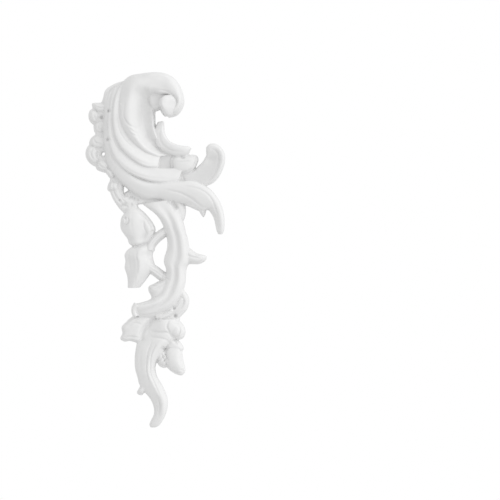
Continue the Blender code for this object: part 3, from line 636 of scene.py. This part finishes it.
vein([(150, 331.5), (158, 332.5), (168, 333), (174, 340)], 1, 1.3)
vein([(150, 337), (158, 338), (166, 340), (170, 344)], 0.8, 1.2)
vein([(141, 349), (140, 360), (141, 374)], 0.3, 1.2)
vein([(157.5, 399), (159.5, 407), (158, 416)], 0.6, 0.9)
lobe([(170, 340), (176, 341.5), (179.5, 344.5), (181.3, 349), (176, 352), (166, 347)], 9, 11)
lobe([
    (139.5, 380), (140, 387), (137.5, 393), (141, 394.8), (145, 391.7), (150, 392.3), (149, 384)],
    8, 10)
lobe([
    (165, 352), (168, 347), (175, 346), (179.2, 348.3), (180.8, 353), (181.6, 360), (183.2, 366.5),
    (183.3, 371.5), (180.4, 374.4), (176.5, 373.8), (171.5, 371.2), (167, 366.8), (164.5, 360)],
    8, 14)
lobe([
    (158.5, 352.5), (163, 350.5), (167, 353), (168, 360), (166, 366), (162.8, 367),
    (159.3, 365.3), (157, 360)], 8, 11.5)
vein([(163, 349)], 3.5, 1.8)
for line in (
        [(158.5, 361), (167, 353)], [(160, 365), (168, 357)], [(161, 354), (166, 365)],
        [(164, 352), (168.5, 361)]):
    vein(line, 1.3, 0.8)
vein([(182, 370.5)], 1.5, 1.3)
vein([(173, 340), (177, 344.5)], 2, 1)

# Moulding
# The leaves leave the mould as one body. Veins and eyes are cut into its
# face, its back is flat for gluing, and the whole is primed white.
GRAIN = 0.00055
TRIANGLES = 195000
CREASE = math.radians(50)

mesh = bpy.data.meshes.new("scroll_onlay_carving")
carving.to_mesh(mesh)
carving.free()
onlay = bpy.data.objects.new("scroll_onlay_carving", mesh)
bpy.context.scene.collection.objects.link(onlay)
union = onlay.modifiers.new("one_body", "REMESH")
union.mode = "VOXEL"
union.voxel_size = GRAIN


def bake(item):
    """The object's mesh with its modifiers applied, in place of its own."""
    graph = bpy.context.evaluated_depsgraph_get()
    result = bpy.data.meshes.new_from_object(item.evaluated_get(graph))
    item.modifiers.clear()
    item.data = result
    return result


mesh = bake(onlay)

# Only the outer shell stays, without the voids that overlapping leaves enclose.
body = bmesh.new()
body.from_mesh(mesh)
reached = {max(body.verts, key=lambda corner: corner.co.z)}
front = list(reached)
while front:
    corner = front.pop()
    for edge in corner.link_edges:
        other = edge.other_vert(corner)
        if other not in reached:
            reached.add(other)
            front.append(other)
voids = [corner for corner in body.verts if corner not in reached]
bmesh.ops.delete(body, geom=voids, context="VERTS")
body.to_mesh(mesh)
body.free()


def press(mesh, ground=1.5, deepest=0.7, spread=3):
    """The veins and eyes, pushed back into the face of the carving but never near its ground."""
    spots = np.zeros(len(mesh.vertices) * 3)
    mesh.vertices.foreach_get("co", spots)
    spots = spots.reshape(-1, 3)
    x = spots[:, 0] / SHEET + ORIGIN[0]
    y = ORIGIN[1] - spots[:, 2] / SHEET
    up = -spots[:, 1] / SHEET
    push = np.zeros(len(x))
    for line, depth, width in veins:
        low, high = line.min(axis=0) - spread * width, line.max(axis=0) + spread * width
        near = np.nonzero((x > low[0]) & (x < high[0]) & (y > low[1]) & (y < high[1]))[0]
        gap = np.hypot(x[near, None] - line[:, 0], y[near, None] - line[:, 1])
        closest = gap.argmin(axis=1)
        taper = np.sin(np.pi * (closest + 0.5) / len(line)) ** 0.5 if len(line) > 1 else 1
        push[near] += depth * taper * np.exp(-(gap[np.arange(len(near)), closest] / width) ** 2)
    up = up - np.minimum(push, deepest * np.maximum(up - ground, 0))
    spots[:, 1] = -up * SHEET
    mesh.vertices.foreach_set("co", spots.ravel())


press(mesh)


def cutter(name, outline, near, far):
    """A prism from one height to another above the flat back, to cut the onlay with."""
    shape = bmesh.new()
    ends = [[shape.verts.new(place(x, y, up)) for x, y in outline] for up in (near, far)]
    shape.faces.new(ends[0])
    shape.faces.new(ends[1][::-1])
    for i in range(len(outline)):
        j = (i + 1) % len(outline)
        shape.faces.new((ends[0][i], ends[1][i], ends[1][j], ends[0][j]))
    bmesh.ops.recalc_face_normals(shape, faces=shape.faces[:])
    block = bpy.data.objects.new(name, bpy.data.meshes.new(name))
    shape.to_mesh(block.data)
    shape.free()
    bpy.context.scene.collection.objects.link(block)
    return block


back = cutter("flat_back", [(60, 50), (250, 50), (250, 450), (60, 450)], near=-25, far=0)
eye = cutter("pierced_eye", smooth([
    (100.8, 153.4), (101.6, 151.8), (103.2, 151.6), (104.3, 152.8), (103.9, 154.6),
    (102.4, 155.4), (101.1, 154.8)], 32, closed=True), near=-5, far=20)
for block in (back, eye):
    hole = onlay.modifiers.new(block.name, "BOOLEAN")
    hole.operation = "DIFFERENCE"
    hole.solver = "MANIFOLD"
    hole.object = block
mesh = bake(onlay)
bpy.data.objects.remove(back)
bpy.data.objects.remove(eye)
facets = onlay.modifiers.new("facets", "DECIMATE")
mesh.calc_loop_triangles()
facets.ratio = min(1, TRIANGLES / len(mesh.loop_triangles))
facets.use_collapse_triangulate = True
mesh = bake(onlay)

# Thinning moves a few corners past the frame's box by a hair; they are held inside.
for corner in mesh.vertices:
    corner.co = [min(max(value, low), high) for value, low, high in zip(
        corner.co, cad_low, cad_high)]
mesh.shade_smooth()
mesh.set_sharp_from_angle(angle=CREASE)
shading = onlay.modifiers.new("even_shading", "WEIGHTED_NORMAL")
shading.keep_sharp = True
mesh = bake(onlay)
mesh.name = onlay.name


def recess_for_painted_shade(mesh, reach=0.0006, rounds=30):
    """The recess attribute, 1 in hollows and -1 on ridges, from the face's distance to its blur,
    which darkens the primer's colour in the hollows as painted shade.
    """
    spots = np.zeros(len(mesh.vertices) * 3)
    mesh.vertices.foreach_get("co", spots)
    spots = spots.reshape(-1, 3)
    facing = np.zeros(len(mesh.vertices) * 3)
    mesh.vertices.foreach_get("normal", facing)
    ends = np.zeros(len(mesh.edges) * 2, int)
    mesh.edges.foreach_get("vertices", ends)
    near, far = np.concatenate([ends.reshape(-1, 2), ends.reshape(-1, 2)[:, ::-1]]).T
    count = np.bincount(near, minlength=len(spots))[:, None]
    blur = spots
    for _ in range(rounds):
        blur = np.stack([
            np.bincount(near, blur[far, k], len(spots)) for k in range(3)], axis=1) / count
    rise = ((blur - spots) * facing.reshape(-1, 3)).sum(axis=1)
    recess = mesh.attributes.new("recess", "FLOAT", "POINT")
    recess.data.foreach_set("value", np.clip(rise / reach, -1, 1))


# The recess attribute carries the painted shade of the hollows into the primer's colour.
recess_for_painted_shade(mesh)
mesh.materials.clear()
mesh.materials.append(primer)
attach(onlay, "root")
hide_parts("scroll_onlay")

# Studio
# A plain pale floor under the onlay, a broad soft light from the right and
# the camera square on, with room to the right as in the photograph.
FLOOR_SIDE, FLOOR_FRONT, FLOOR_REAR, FLOOR_LEVEL = 1.5, -1.2, 0.7, -0.42
FLOOR_COLOUR = (0.8, 0.8, 0.8, 1)
BACKDROP, ROOM_LIGHT = 1.0, 0.83
KEY_LIGHT, KEY_FROM = 0.92, (0.8, -0.5, 0.35)
KEY_BREADTH = math.radians(50)
VIEW_ANGLE = math.radians(16)
VIEW_SIZE = 0.5
VIEW_CENTRE = (0.094, -0.015, -0.060)

floor = bpy.data.meshes.new("floor")
floor.from_pydata([
    (-FLOOR_SIDE, FLOOR_FRONT, FLOOR_LEVEL), (FLOOR_SIDE, FLOOR_FRONT, FLOOR_LEVEL),
    (FLOOR_SIDE, FLOOR_REAR, FLOOR_LEVEL), (-FLOOR_SIDE, FLOOR_REAR, FLOOR_LEVEL)],
    [], [(0, 1, 2, 3)])
ground = bpy.data.objects.new("floor", floor)
bpy.context.scene.collection.objects.link(ground)
pale = bpy.data.materials.new("pale floor")
pale.use_nodes = True
paint = pale.node_tree.nodes["Principled BSDF"]
paint.inputs["Base Color"].default_value = FLOOR_COLOUR
paint.inputs["Roughness"].default_value = 0.9
floor.materials.append(pale)

world = bpy.data.worlds.new("studio")
world.use_nodes = True
tree = world.node_tree
path = tree.nodes.new("ShaderNodeLightPath")
level = tree.nodes.new("ShaderNodeMapRange")
level.inputs["To Min"].default_value = ROOM_LIGHT
level.inputs["To Max"].default_value = BACKDROP
tree.links.new(path.outputs["Is Camera Ray"], level.inputs["Value"])
tree.links.new(level.outputs["Result"], tree.nodes["Background"].inputs["Strength"])
tree.nodes["Background"].inputs["Color"].default_value = (1, 1, 1, 1)
bpy.context.scene.world = world
lamp = bpy.data.objects.new("key", bpy.data.lights.new("key", "SUN"))
lamp.data.energy = KEY_LIGHT
lamp.data.angle = KEY_BREADTH
lamp.rotation_euler = Vector(KEY_FROM).to_track_quat("Z", "Y").to_euler()
bpy.context.scene.collection.objects.link(lamp)

camera = bpy.data.objects.new("camera", bpy.data.cameras.new("camera"))
camera.data.angle = VIEW_ANGLE
distance = VIEW_SIZE / 2 / math.tan(VIEW_ANGLE / 2)
camera.location = (VIEW_CENTRE[0], VIEW_CENTRE[1] - distance, VIEW_CENTRE[2])
camera.rotation_euler = (math.radians(90), 0, 0)
bpy.context.scene.collection.objects.link(camera)
bpy.context.scene.camera = camera
bpy.context.scene.view_settings.view_transform = "Standard"
